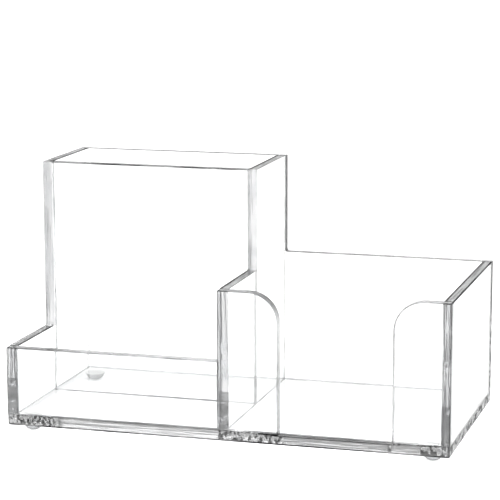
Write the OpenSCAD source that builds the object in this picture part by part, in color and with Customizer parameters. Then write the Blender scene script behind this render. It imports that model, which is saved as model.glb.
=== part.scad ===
// Desk organiser in clear acrylic sheet: a tall pen cup, a low tray in front of it
// and a note box with an open front beside them, all solvent-bonded on one base plate
// that stands on four soft dome feet.
// Frame: X to the right, Y to the back, Z up. The origin is on the desk, under the middle.

/* [Overall size] */
// Width over the outer faces of the side panels
overall_w = 180; // [170:1:220]
// Depth over the outer faces of the front and back panels
overall_d = 90; // [80:1:120]
// Height of the pen cup's rim above the underside of the base plate
cup_h = 101; // [80:1:130]
// Height of the note box's rim above the underside of the base plate
note_h = 60; // [45:1:75]
// Height of the tray's rim above the underside of the base plate
tray_h = 32; // [20:1:40]

/* [Acrylic sheet] */
// Thickness of every upright panel
wall_t = 4; // [3:0.5:5]
// Thickness of the base plate
base_t = 4.5; // [3:0.5:6]
// Radius left by the cutter in the inside corner of a stepped panel
step_r = 1; // [0.5:0.25:3]

/* [Front opening of the note box] */
// Clear width between the two front panels
notch_w = 45; // [30:1:55]
// Radius of the top corner beside the opening
notch_r = 12; // [6:1:14]

/* [Feet] */
// Largest diameter of a dome foot
foot_d = 8.5; // [7:0.5:12]
// Height of a foot from the desk to the base plate, with its adhesive
foot_h = 3; // [2:0.5:4]
// Diameter of the flat that a foot stands on
foot_flat_d = 3.2; // [2:0.2:4]
// Distance from the base plate's edges to a foot's centre
foot_inset = 8; // [7:0.5:14]
// Thickness of the adhesive disc above a foot
adhesive_t = 0.2; // [0.1:0.05:0.4]

/* [Hidden] */
$fn = 96;

acrylic = [0.90, 0.92, 0.94, 0.35];
clear_rubber = [0.86, 0.87, 0.88, 0.6];
adhesive = [0.93, 0.93, 0.92, 0.5];

// Outer faces
x_left = -overall_w / 2;
x_right = overall_w / 2;
y_front = -overall_d / 2;
y_back = overall_d / 2;
z_base = foot_h;
z_floor = z_base + base_t;

// Inner faces. The divider stands on the middle of the width, and the pen cup's
// front panel on the middle of the depth.
x_left_in = x_left + wall_t;
x_right_in = x_right - wall_t;
y_front_in = y_front + wall_t;
y_back_in = y_back - wall_t;
divider_left = -wall_t / 2;
divider_right = wall_t / 2;
cup_front_y = -wall_t / 2;
side_run = y_back_in - y_front_in;
step_run = cup_front_y - y_front_in;

// Heights of the panels themselves, which stand on the base plate
cup_panel_h = cup_h - base_t;
note_panel_h = note_h - base_t;
tray_panel_h = tray_h - base_t;

// The opening is centred on the right half of the base plate.
notch_left = (x_right - notch_w) / 2;
notch_right = notch_left + notch_w;

// Sphere that gives a foot its dome: it has foot_d where the foot meets its adhesive
// and foot_flat_d at the desk.
dome_h = foot_h - adhesive_t;
dome_drop = ((foot_d / 2) ^ 2 - (foot_flat_d / 2) ^ 2 - dome_h ^ 2) / (2 * dome_h);
dome_r = sqrt((foot_d / 2) ^ 2 + dome_drop ^ 2);

// L-shaped outline: low up to x = low_run, then tall up to x = run, with a radius in
// the inside corner of the step.
module stepped_outline(run, low_run, low_h, tall_h) {
    union() {
        square([run, low_h]);
        translate([low_run, 0])
            square([run - low_run, tall_h]);
        translate([low_run - step_r, low_h])
            difference() {
                square([step_r, step_r]);
                translate([0, step_r])
                    circle(r = step_r);
            }
    }
}

// Upright panel that runs front to back, from the inner face of the front panels to the
// inner face of the back panel. Its outline is drawn in (depth, height).
module side_plate(x) {
    translate([x, y_front_in, z_floor])
        rotate([90, 0, 90])
            linear_extrude(wall_t)
                children();
}

// Upright panel that runs left to right from x, with its front face at y. Its outline is
// drawn in (width, height).
module cross_plate(x, y) {
    translate([x, y + wall_t, z_floor])
        rotate([90, 0, 0])
            linear_extrude(wall_t)
                children();
}

// Swaps the left and right ends of an outline that is w wide.
module swapped_ends(w) {
    translate([w, 0])
        mirror([1, 0])
            children();
}

module base_plate() {
    color(acrylic)
        translate([x_left, y_front, z_base])
            cube([overall_w, overall_d, base_t]);
}

// One panel behind the whole organiser: tall behind the pen cup, low behind the notes.
module back_panel() {
    color(acrylic)
        cross_plate(x_left, y_back_in)
            swapped_ends(overall_w)
                stepped_outline(overall_w, x_right - divider_right, note_panel_h, cup_panel_h);
}

module left_side_panel() {
    color(acrylic)
        side_plate(x_left)
            stepped_outline(side_run, step_run, tray_panel_h, cup_panel_h);
}

module right_side_panel() {
    color(acrylic)
        side_plate(x_right_in)
            square([side_run, note_panel_h]);
}

module divider_panel() {
    color(acrylic)
        side_plate(divider_left)
            stepped_outline(side_run, step_run, note_panel_h, cup_panel_h);
}

// Stands between the left side panel and the divider.
module pen_cup_front_panel() {
    color(acrylic)
        cross_plate(x_left_in, cup_front_y)
            square([divider_left - x_left_in, cup_panel_h]);
}

// Covers the front end of the left side panel and stops at the divider's left face.
module tray_front_panel() {
    color(acrylic)
        cross_plate(x_left, y_front)
            square([divider_left - x_left, tray_panel_h]);
}

// Front panel beside the opening of the note box: a rectangle whose top corner is round
// at its far end, x = w.
module note_front_outline(w) {
    difference() {
        square([w, note_panel_h]);
        translate([w - notch_r, note_panel_h - notch_r])
            difference() {
                square(2 * notch_r);
                circle(r = notch_r);
            }
    }
}

// Covers the front end of the divider.
module note_front_left_panel() {
    color(acrylic)
        cross_plate(divider_left, y_front)
            note_front_outline(notch_left - divider_left);
}

// Covers the front end of the right side panel.
module note_front_right_panel() {
    color(acrylic)
        cross_plate(notch_right, y_front)
            swapped_ends(x_right - notch_right)
                note_front_outline(x_right - notch_right);
}

// Places a foot or its adhesive: side is -1 for left and 1 for right, end is -1 for
// front and 1 for back.
module at_corner(side, end) {
    translate([side * (overall_w / 2 - foot_inset), end * (overall_d / 2 - foot_inset), 0])
        children();
}

module foot(side, end) {
    color(clear_rubber)
        at_corner(side, end)
            intersection() {
                translate([0, 0, dome_h + dome_drop])
                    sphere(r = dome_r);
                cylinder(d = foot_d, h = dome_h);
            }
}

module foot_adhesive(side, end) {
    color(adhesive)
        at_corner(side, end)
            translate([0, 0, dome_h])
                cylinder(d = foot_d, h = adhesive_t);
}

base_plate();
back_panel();
left_side_panel();
right_side_panel();
divider_panel();
pen_cup_front_panel();
tray_front_panel();
note_front_left_panel();
note_front_right_panel();
foot(-1, -1);  // foot_front_left
foot(1, -1);  // foot_front_right
foot(-1, 1);  // foot_back_left
foot(1, 1);  // foot_back_right
foot_adhesive(-1, -1);  // foot_adhesive_front_left
foot_adhesive(1, -1);  // foot_adhesive_front_right
foot_adhesive(-1, 1);  // foot_adhesive_back_left
foot_adhesive(1, 1);  // foot_adhesive_back_right
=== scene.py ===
"""Looks of a clear acrylic desk organiser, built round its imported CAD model.

Every panel is rebuilt as a mesh with polished edges. Where two panels are bonded, their
faces let light straight through, as a solvent joint does, apart from the voids and
streaks that the solvent leaves.
"""
import itertools
import math

import bmesh
import bpy
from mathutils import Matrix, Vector


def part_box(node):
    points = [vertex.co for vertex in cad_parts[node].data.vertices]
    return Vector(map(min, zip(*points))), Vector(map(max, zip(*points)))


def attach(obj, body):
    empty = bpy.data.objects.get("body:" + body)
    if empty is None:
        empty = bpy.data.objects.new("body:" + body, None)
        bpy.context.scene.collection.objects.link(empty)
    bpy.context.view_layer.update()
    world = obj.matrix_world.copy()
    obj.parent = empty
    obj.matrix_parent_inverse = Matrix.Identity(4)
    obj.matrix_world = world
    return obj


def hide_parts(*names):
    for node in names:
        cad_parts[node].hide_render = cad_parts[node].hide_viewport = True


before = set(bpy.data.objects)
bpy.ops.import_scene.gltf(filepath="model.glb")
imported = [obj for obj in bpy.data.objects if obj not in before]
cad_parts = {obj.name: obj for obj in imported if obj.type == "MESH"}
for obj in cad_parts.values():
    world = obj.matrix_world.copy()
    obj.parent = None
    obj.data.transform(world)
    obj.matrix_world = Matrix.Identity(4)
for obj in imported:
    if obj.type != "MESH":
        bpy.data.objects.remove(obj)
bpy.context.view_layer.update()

MM = 0.001
AXES = (0, 1, 2)

# Shape details that the CAD boxes don't give
NOTCH_RADIUS = 12 * MM          # top corner beside the note box's opening
STEP_RADIUS = 1 * MM            # inside corner of a stepped panel
EDGE_RADIUS = 0.5 * MM          # polished edges of the upright panels
BASE_EDGE_RADIUS = 0.9 * MM     # the same, on the base plate
SEAM_RADIUS = 0.3 * MM          # edges beside a joint
EDGE_SEGMENTS = 3
EDGE_ANGLE = math.radians(45)   # a rounded edge turns by more than this
ARC_STEP = math.radians(3)
JOINT_FILM = 0.01 * MM          # half of the solvent film between two panels
FOOT_FLAT_RADIUS = 1.6 * MM     # flat that a foot stands on
FOOT_TURNS = 64                 # facets round a foot
FOOT_RINGS = 17
DISC_BULGE = 0.05 * MM          # of an adhesive disc's rim
SAME = 1e-6                     # places closer than this are the same

# Largest angle that shading smooths over
PANEL_SMOOTH = math.radians(8)
FOOT_SMOOTH = math.radians(40)
FLOOR_SMOOTH = math.radians(30)

# Clear acrylic. Scales are texture repeats in a metre, and heights are in metres. A darkness
# is the share of the light that a surface swallows.
ACRYLIC_IOR = 1.491
ABSORPTION = 5.0                # in each metre
SHADOW_BLEND = 0.25             # Layer Weight blend of the shadow's tint
SHADOW_STRAIGHT = (0.97, 0.97, 0.97, 1)
SHADOW_SLANTED = (0.55, 0.55, 0.56, 1)
ACRYLIC_TINT = (0.985, 0.99, 0.99, 1)
FACE_WAVES = 30
FACE_WAVE_HEIGHT = 0.00001
FACE_SCUFFS = 260
SCUFFED = (0.55, 0.8)
SCUFF_ROUGHNESS = 0.02

# Slants are Layer Weight facing values, from 0 straight on to 1 at a grazing angle
GRAZING = (0.45, 0.7)
UPWARD = (0.3, 0.7)             # from a rim that faces sideways to one that faces up
RIM_STREAKS_LONG = 40
RIM_STREAKS_ACROSS = 5
RIM_STREAK_HEIGHT = 0.0001
RIM_LIGHT = (0.99, 0.99, 0.99, 1)
RIM_DARK = (0.82, 0.83, 0.84, 1)
# Painted shade on the rims, standing for the dark surroundings that a real rim mirrors: dark
# borders and darker streaks on top rims, most at a grazing angle, and an even darkness on rims
# that face sideways, more on the back panel above the cement
INNER_BORDER = (0.2, 0.35)      # places across a rim, from 0 inside to 1 outside
OUTER_BORDER = (0.85, 0.95)
STREAK_DARKNESS = 0.5           # of a top rim's streaks, as a share of its borders'
STREAKS_DARKEN = (0.45, 0.7)    # streak levels over which each change comes in
STREAKS_TINT = (0.35, 0.75)
STREAKS_ROUGHEN = (0.4, 0.7)
RIM_ROUGHNESS = (0.01, 0.08)
SLANTED_DARKNESS = 0.8          # of a top rim's borders at a grazing angle
STRAIGHT_DARKNESS = 0.55        # of a top rim's borders straight on
SIDEWAYS_DARKNESS = 0.24        # of a sideways rim at a grazing angle
FRONT_RIM_DARKNESS = 0.22       # of a sideways rim straight on
BACK_DARKNESS = 0.72            # of the back panel's sideways rims above the cement

# Cement strokes on the rims
CEMENT_RUN = 22 * MM            # length of the run at the left front corner
CEMENT_TOP = 45 * MM
CEMENT_FADE = 10 * MM           # height over which it thins out
CEMENT_START = 1 * MM
CEMENT_END = 3 * MM
CEMENT_SLANT = (0.5, 0.6, 0)
CEMENT_SCALE = (800, 220, 450)
CEMENT_STROKES = (0.44, 0.56)
CEMENT_HEIGHT = 0.0004
CEMENT_ROUGHNESS = (0.01, 0.12)
CEMENT_DARKNESS = 0.75
SKIN_SHALLOW = 0.8 * MM         # a look that belongs to the front or right face fades out
SKIN_DEEP = 1.2 * MM            # between these depths

# Rounded edges
EDGE_NICKS = 60
EDGE_NICK_HEIGHT = 0.00003
# Painted shade that draws the edges as dark lines, mottled along the nicks, darkest where they
# face down and lightest at the front
EDGE_MOTTLED = (0.35, 0.65)
DOWNWARD = (-0.3, 0)            # from an edge that faces down to one that doesn't
EDGE_ROUGHNESS = 0.05
EDGE_LIGHT = (0.35, 0.35, 0.355, 1)
EDGE_DARK = (0.04, 0.04, 0.042, 1)
EDGE_DARKNESS = 0.85
EDGE_SHARE = 0.9                # of that darkness, on edges that don't face down
FRONT_EDGE_SHARE = 0.6          # the same, at the front face

# Solvent joints
JOINT_STREAKS_LONG = 40
JOINT_STREAKS_ACROSS = 4
JOINT_RAGGED = 90
JOINT_RAGGED_LEVELS = (0.3, 0.7)
JOINT_RAGGEDNESS = (-0.08, 0.08)
JOINT_PATCHES = 45
JOINT_PATCHED = (0.52, 0.6)
JOINT_BUBBLES = 650
JOINT_BUBBLED = (0.46, 0.52)
JOINT_BUMP = 0.0003
JOINT_ROUGHNESS = 0.05
JOINT_SLANT = (0.5, 0.9)
JOINT_CLEAR = (0.985, 0.985, 0.985, 1)
JOINT_SLANTED = (0.68, 0.685, 0.69, 1)
JOINT_VOID = (0.85, 0.86, 0.87, 1)
JOINT_LINE = (0.25, 0.25, 0.255, 1)
JOINT_LINE_INNER = 0.2          # place of the dark line across a joint
JOINT_LINE_HALF = (0.05, 0.08)
JOINT_LINE_FADE = 0.02
JOINT_WAVY_MIDDLE = 0.5         # streak level along a wavy line
JOINT_WAVY = 0.03               # half of its width, as a streak level

# Feet and their adhesive
RUBBER_IOR = 1.5
RUBBER_TINT = (0.8, 0.81, 0.82, 1)
RUBBER_ROUGHNESS = 0.12
RUBBER_HAZE = 900
RUBBER_HAZE_HEIGHT = 0.00002
# Painted shade at a foot's outline, from straight on to a grazing angle
RUBBER_SLANT = (0.2, 0.9)
RUBBER_DARKNESS = (0.05, 0.5)
ADHESIVE_HAZE = 1200
ADHESIVE_DARK = (0.75, 0.75, 0.73, 1)
ADHESIVE_LIGHT = (0.95, 0.95, 0.93, 1)
ADHESIVE_ROUGHNESS = 0.4
ADHESIVE_COVER = 0.35

# Studio
FLOOR_TONE = 0.9
FLOOR_ROUGHNESS = 0.9
FLOOR_RADIUS = 8.0
FLOOR_SIDES = 96
SUN_STRENGTH = 4.2
SUN_SIZE = math.radians(50)
SUN_TILT = (math.radians(-12), math.radians(10), 0)
WHITE = 1.4                     # brightness below the horizon, over white like the floor
SKY = 0.6                       # brightness above SKY_FROM
SKY_FROM = math.radians(6)      # above the horizon
BOUNCES = 40                    # light crosses many panels
DIFFUSE_BOUNCES = 4
CLEAR_BOUNCES = 64

# Photograph's viewpoint
CAMERA_AIM = Vector((-0.0024, 0.0028, 0.0703))
CAMERA_AZIMUTH = math.radians(16.24)
CAMERA_ELEVATION = math.radians(10.44)
CAMERA_ROLL = math.radians(-0.12)
CAMERA_DISTANCE = 0.8408
CAMERA_LENS = 149.1             # in mm
CAMERA_SENSOR = 36              # width in mm
CAMERA_CLIP = (0.05, 50)


# ---- Places, all taken from the CAD nodes ------------------------------------------

base_low, base_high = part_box("base_plate")
left_low, left_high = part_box("left_side_panel")
right_low, right_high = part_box("right_side_panel")
cup_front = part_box("pen_cup_front_panel")[0].y
divider_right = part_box("divider_panel")[1].x
note_left_low, note_left_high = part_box("note_front_left_panel")
note_right_low, note_right_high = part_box("note_front_right_panel")
wall_thickness = left_high.x - left_low.x

z_note = right_high.z
z_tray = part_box("tray_front_panel")[1].z

# Where a material changes: y behind the front face, x beside the right face, and z up the rims
FRONT_SKIN = (base_low.y + SKIN_SHALLOW, base_low.y + SKIN_DEEP)
RIGHT_SKIN = (base_high.x - SKIN_DEEP, base_high.x - SKIN_SHALLOW)
CEMENT_HEIGHTS = (CEMENT_TOP - CEMENT_FADE, CEMENT_TOP)


# ---- Outlines ----------------------------------------------------------------------

def rounded(corners):
    """Points of a closed outline. A corner is (u, v) or (u, v, radius)."""
    points = []
    for i, corner in enumerate(corners):
        here = Vector(corner[:2])
        radius = corner[2] if len(corner) == 3 else 0
        if not radius:
            points.append(here)
            continue
        before = (Vector(corners[i - 1][:2]) - here).normalized()
        after = (Vector(corners[(i + 1) % len(corners)][:2]) - here).normalized()
        half = before.angle(after) / 2
        centre = here + (before + after).normalized() * (radius / math.sin(half))
        start = here + before * (radius / math.tan(half)) - centre
        turn = start.angle_signed(here + after * (radius / math.tan(half)) - centre)
        steps = max(2, round(abs(turn) / ARC_STEP))
        for k in range(steps + 1):
            angle = -turn * k / steps
            cosine, sine = math.cos(angle), math.sin(angle)
            u = start.x * cosine - start.y * sine
            v = start.x * sine + start.y * cosine
            points.append(centre + Vector((u, v)))
    return points


def rectangle(low, high):
    return [(low[0], low[1]), (high[0], low[1]), (high[0], high[1]), (low[0], high[1])]


def stepped(start, step, end, low, middle, high):
    """A side that is low up to the step, then tall, with a radius in the step's corner."""
    return [
        (start, low), (end, low), (end, high),
        (step, high), (step, middle, STEP_RADIUS), (start, middle),
    ]


class Panel:
    """An acrylic panel: an outline, extruded along an axis between two places.

    boxes cover the panel, and say where it touches the others."""

    def __init__(self, node, axis, corners, boxes=None):
        self.node = node
        self.axis = axis
        self.low, self.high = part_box(node)
        self.outline = rounded(corners)
        self.boxes = boxes or [(self.low, self.high)]


def without(vector, axis):
    return [vector[a] for a in AXES if a != axis]


def plain_panel(node, axis):
    low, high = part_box(node)
    return Panel(node, axis, rectangle(without(low, axis), without(high, axis)))


def side_panel(node, z_low_part):
    """Left side or divider: low in front of the pen cup, tall beside it."""
    low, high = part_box(node)
    corners = stepped(low.y, cup_front, high.y, low.z, z_low_part, high.z)
    boxes = [
        (low, Vector((high.x, high.y, z_low_part))),
        (Vector((low.x, cup_front, low.z)), high),
    ]
    return Panel(node, 0, corners, boxes)


def back_wall():
    """Tall behind the pen cup, low behind the notes."""
    low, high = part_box("back_panel")
    corners = stepped(high.x, divider_right, low.x, low.z, z_note, high.z)
    boxes = [
        (low, Vector((high.x, high.y, z_note))),
        (low, Vector((divider_right, high.y, high.z))),
    ]
    return Panel("back_panel", 1, corners, boxes)


def note_front(node, outer, inner):
    """Front panel that ends in a round corner beside the opening, at x = inner."""
    low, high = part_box(node)
    corners = [(outer, low.z), (inner, low.z), (inner, high.z, NOTCH_RADIUS), (outer, high.z)]
    return Panel(node, 1, corners)


PANELS = [
    plain_panel("base_plate", 2),
    back_wall(),
    side_panel("left_side_panel", z_tray),
    side_panel("divider_panel", z_note),
    plain_panel("right_side_panel", 0),
    plain_panel("pen_cup_front_panel", 1),
    plain_panel("tray_front_panel", 1),
    note_front("note_front_left_panel", note_left_low.x, note_left_high.x),
    note_front("note_front_right_panel", note_right_high.x, note_right_low.x),
]
FEET = ["front_left", "front_right", "back_left", "back_right"]


# ---- Panel meshes ------------------------------------------------------------------

def contacts(panel):
    """Where other panels are bonded to this one: (axis, place, low, high) of each rectangle."""
    found = []
    others = [box for other in PANELS if other is not panel for box in other.boxes]
    for (low, high), (their_low, their_high) in itertools.product(panel.boxes, others):
        both_low = Vector(map(max, low, their_low))
        both_high = Vector(map(min, high, their_high))
        for axis in AXES:
            if abs(both_high[axis] - both_low[axis]) > SAME:
                continue
            if all(both_high[a] - both_low[a] > SAME for a in AXES if a != axis):
                found.append((axis, both_low[axis], both_low, both_high))
    return found


def lies_in(face, axis, place):
    """Whether a face lies in the plane at this place on an axis."""
    return all(abs(v.co[axis] - place) < SAME for v in face.verts)


def overlaps(face, axis, low, high):
    """Whether a face overlaps a rectangle in its plane."""
    for a in AXES:
        reach = [v.co[a] for v in face.verts]
        if a != axis and (max(reach) < low[a] + SAME or min(reach) > high[a] - SAME):
            return False
    return True


def cut_out(mesh, axis, place, low, high):
    """Splits the faces in a plane along a rectangle's sides, and returns those inside it."""

    def inside():
        return [f for f in mesh.faces if lies_in(f, axis, place) and overlaps(f, axis, low, high)]

    for a in AXES:
        if a == axis:
            continue
        normal = Vector([float(a == b) for b in AXES])
        for corner in (low, high):
            faces = inside()
            edges = {e for f in faces for e in f.edges}
            verts = {v for f in faces for v in f.verts}
            bmesh.ops.bisect_plane(
                mesh, geom=[*faces, *edges, *verts], dist=SAME, plane_co=corner, plane_no=normal
            )
    return inside()


def place_point(axis, depth, u, v):
    """A point of an outline, at this depth along the panel's axis."""
    return Vector([(depth, u, v), (u, depth, v), (u, v, depth)][axis])


FACE, RIM, EDGE, JOINT = range(4)       # material slots of a panel


def panel_mesh(panel):
    """The panel's solid, with its joints marked and cut out and its edges rounded."""
    mesh = bmesh.new()
    ends = []
    for depth in (panel.low[panel.axis], panel.high[panel.axis]):
        ring = [mesh.verts.new(place_point(panel.axis, depth, *p)) for p in panel.outline]
        ends.append(ring)
        mesh.faces.new(ring).material_index = FACE
    for i in range(len(panel.outline)):
        quad = [ends[0][i - 1], ends[0][i], ends[1][i], ends[1][i - 1]]
        mesh.faces.new(quad).material_index = RIM
    bmesh.ops.recalc_face_normals(mesh, faces=mesh.faces)
    joints = contacts(panel)
    joint_number = mesh.faces.layers.int.new("joint")
    for number, (axis, place, low, high) in enumerate(joints):
        for face in cut_out(mesh, axis, place, low, high):
            face.material_index = JOINT
            face[joint_number] = number
    outer_radius = BASE_EDGE_RADIUS if panel.node == "base_plate" else EDGE_RADIUS
    round_edges(mesh, 0, outer_radius)
    round_edges(mesh, 1, SEAM_RADIUS)
    note_across(mesh, panel, joints, joint_number)
    open_joints(mesh)
    return mesh


def round_edges(mesh, joint_faces, radius):
    """Rounds the edges that have this many joint faces beside them."""
    edges = [
        e for e in mesh.edges
        if e.is_manifold
        and sum(f.material_index == JOINT for f in e.link_faces) == joint_faces
        and EDGE not in {f.material_index for f in e.link_faces}
        and e.calc_face_angle() > EDGE_ANGLE
    ]
    bmesh.ops.bevel(
        mesh, geom=edges, offset=radius, segments=EDGE_SEGMENTS, profile=0.5,
        affect="EDGES", material=EDGE, clamp_overlap=True,
    )


def note_across(mesh, panel, joints, joint_number):
    """Notes how far each place lies across its rim or joint, from 0 at the side nearer to the
    frame's origin to 1 at the other."""
    across = mesh.loops.layers.float.new("across")
    for face in mesh.faces:
        axis, low, high = panel.axis, panel.low, panel.high
        if face.material_index == JOINT:
            joint_axis, place, low, high = joints[face[joint_number]]
            axis = min(without(AXES, joint_axis), key=lambda a: high[a] - low[a])
        start, end = low[axis], high[axis]
        if start + end < 0:
            start, end = end, start
        for loop in face.loops:
            loop[across] = (loop.vert.co[axis] - start) / (end - start)


def open_joints(mesh):
    """Makes room for the solvent film between two bonded faces."""
    moves = {}
    for face in mesh.faces:
        if face.material_index == JOINT:
            for v in face.verts:
                moves.setdefault(v, set()).add(tuple(round(c) for c in face.normal))
    for v, normals in moves.items():
        for normal in normals:
            v.co -= Vector(normal) * JOINT_FILM


def add_object(name, mesh, materials, smooth_angle):
    """Makes an object of a mesh and puts it in the scene."""
    data = bpy.data.meshes.new(name)
    mesh.to_mesh(data)
    mesh.free()
    data.shade_smooth()
    data.set_sharp_from_angle(angle=smooth_angle)
    for material in materials:
        data.materials.append(material)
    piece = bpy.data.objects.new(name, data)
    bpy.context.scene.collection.objects.link(piece)
    return piece


# ---- Materials ---------------------------------------------------------------------

class Nodes:
    """A material's node tree, with short ways to add nodes and join them."""

    def __init__(self, name):
        self.material = bpy.data.materials.new(name)
        self.material.use_nodes = True
        self.tree = self.material.node_tree
        self.tree.nodes.clear()

    def add(self, kind, inputs=None, **settings):
        node = self.tree.nodes.new("ShaderNode" + kind)
        for key, value in settings.items():
            setattr(node, key, value)
        for key, value in (inputs or {}).items():
            self.set(node.inputs[key], value)
        return node

    def set(self, socket, value):
        if isinstance(value, bpy.types.NodeSocket):
            self.tree.links.new(value, socket)
        else:
            socket.default_value = value

    def maths(self, operation, *values):
        return self.add("Math", dict(enumerate(values)), operation=operation).outputs[0]

    def most(self, first, *others):
        """The largest of several values."""
        for other in others:
            first = self.maths("MAXIMUM", first, other)
        return first

    def product(self, first, second):
        return self.maths("MULTIPLY", first, second)

    def place(self):
        """The place in the frame, in metres."""
        return self.add("TexCoord").outputs["Object"]

    def across(self):
        """The noted place across a rim or joint."""
        return self.add("Attribute", attribute_name="across").outputs["Fac"]

    def facing(self):
        """0 where the surface is seen straight on, 1 at a grazing angle."""
        return self.add("LayerWeight", {"Blend": 0.5}).outputs["Facing"]

    def split(self, vector):
        """X, Y and Z of a vector."""
        return self.add("SeparateXYZ", {0: vector}).outputs

    def noise(self, place, scale, detail):
        return self.add("TexNoise", {"Vector": place, "Scale": scale, "Detail": detail}).outputs[0]

    def between(self, value, low, high, to_low, to_high):
        """to_low up to low, to_high from high on, and smooth between."""
        return self.add("MapRange", {
            "Value": value, "From Min": low, "From Max": high, "To Min": to_low, "To Max": to_high,
        }, interpolation_type="SMOOTHSTEP").outputs[0]

    def blend(self, share, first, second):
        return self.add("MixRGB", {"Fac": share, "Color1": first, "Color2": second}).outputs[0]

    def bump(self, height, distance):
        """Bumps of a distance in metres."""
        return self.add("Bump", {"Height": height, "Distance": distance}).outputs[0]

    def upwards(self):
        """From -1 where the surface faces down to 1 where it faces up."""
        return self.split(self.add("NewGeometry").outputs["Normal"])["Z"]

    def stretched(self, along, across):
        """Texture place with this many repeats in a metre, and across a panel's thickness."""
        long = self.add("VectorMath", {0: self.place(), 3: along}, operation="SCALE").outputs[0]
        wide = self.product(self.across(), across)
        raised = self.add("CombineXYZ", {2: wide}).outputs[0]
        return self.add("VectorMath", {0: long, 1: raised}, operation="ADD").outputs[0]

    def finish(self, shader):
        self.add("OutputMaterial", {"Surface": shader})
        return self.material


def clear_shader(nodes, tint, roughness, bump, ior, dark=0.0):
    """Clear plastic. It absorbs a little along a ray's way inside it, so it is darkest where it
    guides light along a panel. Shadow rays pass it unbent, so it casts only a light shadow.
    dark is the share of the light that its outside swallows. On cemented rims it is set cement;
    elsewhere it is painted shade, standing for the dark surroundings that a real rim mirrors."""
    glass = nodes.add("BsdfPrincipled", {
        "Base Color": tint, "Roughness": roughness, "IOR": ior,
        "Transmission Weight": 1.0, "Normal": bump,
    })
    path = nodes.add("LightPath")
    inside = nodes.add("NewGeometry").outputs["Backfacing"]
    depth = nodes.product(path.outputs["Ray Length"], -ABSORPTION)
    absorbed = nodes.maths("SUBTRACT", 1.0, nodes.maths("EXPONENT", depth))
    lost = nodes.add("Mix", {0: inside, 2: dark, 3: absorbed}, data_type="FLOAT").outputs[0]
    black = nodes.add("BsdfTransparent", {"Color": (0, 0, 0, 1)})
    dimmed = nodes.add("MixShader", {0: lost, 1: glass.outputs[0], 2: black.outputs[0]})
    slant = nodes.add("LayerWeight", {"Blend": SHADOW_BLEND}).outputs["Facing"]
    shade = nodes.blend(slant, SHADOW_STRAIGHT, SHADOW_SLANTED)
    passed = nodes.add("BsdfTransparent", {"Color": shade})
    return nodes.add("MixShader", {
        0: path.outputs["Is Shadow Ray"], 1: dimmed.outputs[0], 2: passed.outputs[0],
    }).outputs[0]


def acrylic_face():
    """The sheet's own surface, with the slight waves of its casting and a few scuffs."""
    nodes = Nodes("acrylic_face")
    place = nodes.place()
    bump = nodes.bump(nodes.noise(place, FACE_WAVES, 1), FACE_WAVE_HEIGHT)
    scuffs = nodes.noise(place, FACE_SCUFFS, 3)
    roughness = nodes.between(scuffs, *SCUFFED, 0.0, SCUFF_ROUGHNESS)
    return nodes.finish(clear_shader(nodes, ACRYLIC_TINT, roughness, bump, ACRYLIC_IOR))


def rim_painted_shade(nodes, streaks, sideways, straight):
    """Painted shade of a rim, standing for the dark surroundings that a real rim mirrors. A top
    rim has dark borders and streaks, most at a grazing angle. A rim that faces sideways is evenly
    dark.
    sideways is its darkness at a grazing angle, and straight its darkness straight on."""
    facing = nodes.facing()
    across = nodes.across()
    inner = nodes.between(across, *INNER_BORDER, 1, 0)
    outer = nodes.between(across, *OUTER_BORDER, 0, 1)
    slanted = nodes.between(facing, *GRAZING, STRAIGHT_DARKNESS, SLANTED_DARKNESS)
    top = nodes.product(slanted, nodes.most(inner, outer, streaks))
    side = nodes.between(facing, *GRAZING, straight, sideways)
    level = nodes.maths("ABSOLUTE", nodes.upwards())
    return nodes.between(level, *UPWARD, side, top)


def acrylic_rim(name, cemented):
    """Cut and polished: the polishing wheel leaves fine waves along the rim. On a cemented rim,
    cement also ran down from the joints and set in strokes. Apart from those strokes, the rim's
    darkness is painted shade."""
    nodes = Nodes(name)
    streaks = nodes.noise(nodes.stretched(RIM_STREAKS_LONG, RIM_STREAKS_ACROSS), 1.0, 2)
    place = nodes.place()
    sideways, straight = SIDEWAYS_DARKNESS, FRONT_RIM_DARKNESS
    if cemented:
        straight = 0.0
        z = nodes.split(place)["Z"]
        # Painted shade: the back panel's sideways rims darken more above the cement
        sideways = nodes.between(z, *CEMENT_HEIGHTS, SIDEWAYS_DARKNESS, BACK_DARKNESS)
    # Painted shade, apart from the cement's strokes: streaks and borders darken most at a grazing
    # angle, and rims that face sideways darken evenly
    dark_streaks = nodes.between(streaks, *STREAKS_DARKEN, 0.0, STREAK_DARKNESS)
    dark = rim_painted_shade(nodes, dark_streaks, sideways, straight)
    tint = nodes.blend(nodes.between(streaks, *STREAKS_TINT, 0, 1), RIM_LIGHT, RIM_DARK)
    roughness = nodes.between(streaks, *STREAKS_ROUGHEN, *RIM_ROUGHNESS)
    height = nodes.product(streaks, RIM_STREAK_HEIGHT / CEMENT_HEIGHT)
    if cemented:
        ridges = cement_ridges(nodes, place)
        dark = nodes.most(dark, nodes.product(ridges, CEMENT_DARKNESS))
        roughness = nodes.most(roughness, nodes.between(ridges, 0, 1, *CEMENT_ROUGHNESS))
        height = nodes.maths("ADD", height, ridges)
    bump = nodes.bump(height, CEMENT_HEIGHT)
    return nodes.finish(clear_shader(nodes, tint, roughness, bump, ACRYLIC_IOR, dark))


def cement_ridges(nodes, place):
    """Slanted strokes of set cement, on the rims where it ran."""
    slanted = nodes.add("Mapping", {
        "Vector": place, "Rotation": CEMENT_SLANT, "Scale": CEMENT_SCALE,
    }).outputs[0]
    strokes = nodes.between(nodes.noise(slanted, 1.0, 2), *CEMENT_STROKES, 0, 1)
    return nodes.product(cement_zones(nodes, place), strokes)


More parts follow.
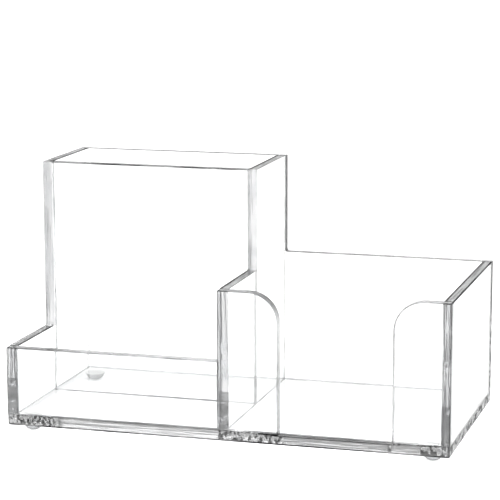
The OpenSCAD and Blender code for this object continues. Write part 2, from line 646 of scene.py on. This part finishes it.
def cement_zones(nodes, place):
    """1 on the stretches of the rims where cement ran out of the joints above or beside them:
    low on the right, and below the upright panels at the front."""
    x, y, z = nodes.split(place)
    right = nodes.between(x, *RIGHT_SKIN, 0, 1)
    low = nodes.between(z, *CEMENT_HEIGHTS, 1, 0)
    zones = nodes.product(right, low)
    front = nodes.between(y, *FRONT_SKIN, 1, 0)
    for start, end in (
        (left_low.x, left_low.x + CEMENT_RUN),
        (note_left_low.x, note_left_high.x + wall_thickness),
        (note_right_low.x - wall_thickness / 2, note_right_low.x + wall_thickness / 2),
        (right_low.x - 2 * wall_thickness, right_high.x),
    ):
        rise = nodes.between(x, start, start + CEMENT_START, 0, 1)
        fall = nodes.between(x, end - CEMENT_END, end, 1, 0)
        zones = nodes.most(zones, nodes.product(nodes.product(rise, fall), front))
    return zones


def acrylic_edge():
    """The narrow rounded edge between a rim and a face. Its dark tint and its darkness are painted
    shade, drawing it as a dark line: darkest where it faces down, lightest at the front, and
    mottled along its nicks."""
    nodes = Nodes("acrylic_edge")
    place = nodes.place()
    nicks = nodes.noise(place, EDGE_NICKS, 4)
    bump = nodes.bump(nicks, EDGE_NICK_HEIGHT)
    share = nodes.between(nodes.split(place)["Y"], *FRONT_SKIN, FRONT_EDGE_SHARE, EDGE_SHARE)
    level = nodes.between(nodes.upwards(), *DOWNWARD, 1, share)
    # Painted shade, mottled along the nicks
    mottled_shade = nodes.product(level, nodes.between(nicks, *EDGE_MOTTLED, 0, 1))
    tint = nodes.blend(mottled_shade, EDGE_LIGHT, EDGE_DARK)
    dark = nodes.product(level, nodes.between(mottled_shade, 0, 1, EDGE_DARKNESS / 2, EDGE_DARKNESS))
    return nodes.finish(clear_shader(nodes, tint, EDGE_ROUGHNESS, bump, ACRYLIC_IOR, dark))


def solvent_joint():
    """Clear where the solvent has wetted both panels. It left voids in patches, thin dark lines,
    and a dry strip along the inner side, which are seen as acrylic surfaces."""
    nodes = Nodes("solvent_joint")
    place = nodes.place()
    streaks = nodes.noise(nodes.stretched(JOINT_STREAKS_LONG, JOINT_STREAKS_ACROSS), 1.0, 1)
    shift = nodes.noise(place, JOINT_RAGGED, 3)
    shift = nodes.between(shift, *JOINT_RAGGED_LEVELS, *JOINT_RAGGEDNESS)
    ragged = nodes.maths("ADD", nodes.across(), shift)
    patches = nodes.between(nodes.noise(place, JOINT_PATCHES, 1), *JOINT_PATCHED, 0, 1)
    bubbles = nodes.noise(place, JOINT_BUBBLES, 2)
    voids = nodes.product(patches, nodes.between(bubbles, *JOINT_BUBBLED, 0, 1))
    level = nodes.maths("ABSOLUTE", nodes.maths("SUBTRACT", streaks, JOINT_WAVY_MIDDLE))
    wavy = nodes.between(level, JOINT_WAVY / 2, JOINT_WAVY, 1, 0)
    dry_strip = nodes.between(ragged, JOINT_LINE_INNER - JOINT_LINE_FADE, JOINT_LINE_INNER, 1, 0)
    off_inner = nodes.maths("ABSOLUTE", nodes.maths("SUBTRACT", ragged, JOINT_LINE_INNER))
    lines = nodes.most(nodes.between(off_inner, *JOINT_LINE_HALF, 1, 0), wavy)
    mask = nodes.most(lines, voids, dry_strip)
    bump = nodes.bump(nodes.maths("ADD", bubbles, streaks), JOINT_BUMP)
    slant = nodes.between(nodes.facing(), *JOINT_SLANT, 0, 1)
    clear = nodes.add("BsdfTransparent", {
        "Color": nodes.blend(slant, JOINT_CLEAR, JOINT_SLANTED),
    })
    tint = nodes.blend(lines, JOINT_VOID, JOINT_LINE)
    void = clear_shader(nodes, tint, JOINT_ROUGHNESS, bump, ACRYLIC_IOR)
    joint = nodes.add("MixShader", {0: mask, 1: clear.outputs[0], 2: void})
    return nodes.finish(joint.outputs[0])


def rubber():
    """Clear soft rubber, hazier than the acrylic, with painted shade darkening its outline."""
    nodes = Nodes("foot_rubber")
    bump = nodes.bump(nodes.noise(nodes.place(), RUBBER_HAZE, 2), RUBBER_HAZE_HEIGHT)
    dark = nodes.between(nodes.facing(), *RUBBER_SLANT, *RUBBER_DARKNESS)
    return nodes.finish(
        clear_shader(nodes, RUBBER_TINT, RUBBER_ROUGHNESS, bump, RUBBER_IOR, dark)
    )


def adhesive():
    """A thin milky film."""
    nodes = Nodes("foot_adhesive")
    tone = nodes.add("ValToRGB", {"Fac": nodes.noise(nodes.place(), ADHESIVE_HAZE, 2)})
    tone.color_ramp.elements[0].color = ADHESIVE_DARK
    tone.color_ramp.elements[1].color = ADHESIVE_LIGHT
    film = nodes.add("BsdfPrincipled", {
        "Base Color": tone.outputs[0], "Roughness": ADHESIVE_ROUGHNESS,
    })
    clear = nodes.add("BsdfTransparent")
    both = nodes.add("MixShader", {0: ADHESIVE_COVER, 1: clear.outputs[0], 2: film.outputs[0]})
    return nodes.finish(both.outputs[0])


# ---- Build -------------------------------------------------------------------------

def lathe(profile, centre):
    """A solid turned round the vertical through centre, from (radius, height) points."""
    mesh = bmesh.new()
    rings = []
    for radius, height in profile:
        ring = []
        for k in range(FOOT_TURNS):
            angle = 2 * math.pi * k / FOOT_TURNS
            x = centre.x + radius * math.cos(angle)
            y = centre.y + radius * math.sin(angle)
            ring.append(mesh.verts.new((x, y, height)))
        rings.append(ring)
    for lower, upper in itertools.pairwise(rings):
        for k in range(FOOT_TURNS):
            mesh.faces.new([lower[k - 1], lower[k], upper[k], upper[k - 1]])
    mesh.faces.new(rings[0])
    mesh.faces.new(rings[-1])
    bmesh.ops.recalc_face_normals(mesh, faces=mesh.faces)
    return mesh


def dome_profile(low, high):
    """From the flat on the desk up to the full width, on the sphere that fits both."""
    radius = (high.x - low.x) / 2
    height = high.z - low.z
    drop = (radius ** 2 - FOOT_FLAT_RADIUS ** 2 - height ** 2) / (2 * height)
    sphere = math.hypot(radius, drop)
    profile = []
    for k in range(FOOT_RINGS):
        rise = height * (1 - math.cos(math.pi / 2 * k / (FOOT_RINGS - 1)))
        profile.append((math.sqrt(sphere ** 2 - (height + drop - rise) ** 2), low.z + rise))
    return profile


def disc_profile(low, high):
    """A thin disc whose rim bulges at half its height."""
    radius = (high.x - low.x) / 2
    inner = radius - DISC_BULGE
    return [(inner, low.z), (radius, (low.z + high.z) / 2), (inner, high.z)]


def add_turned(node, ending, profile_of, materials):
    """Adds a turned solid in the place of a CAD node, named after it."""
    low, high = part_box(node)
    mesh = lathe(profile_of(low, high), (low + high) / 2)
    return add_object(node + ending, mesh, materials, FOOT_SMOOTH)


panel_materials = [
    acrylic_face(), acrylic_rim("acrylic_rim", False), acrylic_edge(), solvent_joint(),
]
cemented_materials = [
    panel_materials[FACE], acrylic_rim("acrylic_cemented_rim", True), *panel_materials[EDGE:],
]
for panel in PANELS:
    is_cemented = panel.node in ("base_plate", "back_panel")
    materials = cemented_materials if is_cemented else panel_materials
    piece = add_object(panel.node + "_acrylic", panel_mesh(panel), materials, PANEL_SMOOTH)
    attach(piece, "root")
    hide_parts(panel.node)

foot_materials = [rubber()]
adhesive_materials = [adhesive()]
for corner in FEET:
    piece = add_turned("foot_" + corner, "_dome", dome_profile, foot_materials)
    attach(piece, "root")
    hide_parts("foot_" + corner)
    piece = add_turned("foot_adhesive_" + corner, "_disc", disc_profile, adhesive_materials)
    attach(piece, "root")
    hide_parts("foot_adhesive_" + corner)


# ---- Stage, light and camera -------------------------------------------------------

def stage_floor():
    nodes = Nodes("studio_floor")
    floor = nodes.add("BsdfPrincipled", {
        "Base Color": (FLOOR_TONE, FLOOR_TONE, FLOOR_TONE, 1), "Roughness": FLOOR_ROUGHNESS,
    })
    mesh = bmesh.new()
    bmesh.ops.create_circle(mesh, cap_ends=True, radius=FLOOR_RADIUS, segments=FLOOR_SIDES)
    piece = add_object("studio_floor", mesh, [nodes.finish(floor.outputs[0])], FLOOR_SMOOTH)


def studio_light():
    """White below the horizon, a less bright sky above it, and one soft lamp."""
    world = bpy.data.worlds.new("studio")
    bpy.context.scene.world = world
    world.use_nodes = True
    tree = world.node_tree
    height = tree.nodes.new("ShaderNodeSeparateXYZ")
    tree.links.new(tree.nodes.new("ShaderNodeTexCoord").outputs["Generated"], height.inputs[0])
    sky = tree.nodes.new("ShaderNodeMapRange")
    sky.inputs["From Max"].default_value = math.sin(SKY_FROM)
    sky.inputs["To Min"].default_value = WHITE
    sky.inputs["To Max"].default_value = SKY
    tree.links.new(height.outputs["Z"], sky.inputs["Value"])
    tree.links.new(sky.outputs[0], tree.nodes["Background"].inputs["Strength"])
    tree.nodes["Background"].inputs["Color"].default_value = (1, 1, 1, 1)
    lamp = bpy.data.lights.new("soft_overhead", "SUN")
    lamp.energy = SUN_STRENGTH
    lamp.angle = SUN_SIZE
    piece = bpy.data.objects.new("soft_overhead", lamp)
    piece.rotation_euler = SUN_TILT
    bpy.context.scene.collection.objects.link(piece)


def camera():
    lens = bpy.data.cameras.new("camera")
    lens.lens = CAMERA_LENS
    lens.sensor_width = CAMERA_SENSOR
    lens.clip_start, lens.clip_end = CAMERA_CLIP
    piece = bpy.data.objects.new("camera", lens)
    back = Vector((
        math.sin(CAMERA_AZIMUTH) * math.cos(CAMERA_ELEVATION),
        -math.cos(CAMERA_AZIMUTH) * math.cos(CAMERA_ELEVATION),
        math.sin(CAMERA_ELEVATION),
    ))
    piece.location = CAMERA_AIM + back * CAMERA_DISTANCE
    turn = (-back).to_track_quat("-Z", "Y").to_euler()
    turn.rotate_axis("Z", CAMERA_ROLL)
    piece.rotation_euler = turn
    bpy.context.scene.collection.objects.link(piece)
    bpy.context.scene.camera = piece


stage_floor()
studio_light()
camera()
scene = bpy.context.scene
scene.view_settings.view_transform = "Standard"
scene.view_settings.look = "None"
cycles = scene.cycles
cycles.use_denoising = True
cycles.max_bounces = BOUNCES
cycles.transmission_bounces = BOUNCES
cycles.glossy_bounces = BOUNCES
cycles.diffuse_bounces = DIFFUSE_BOUNCES
cycles.transparent_max_bounces = CLEAR_BOUNCES
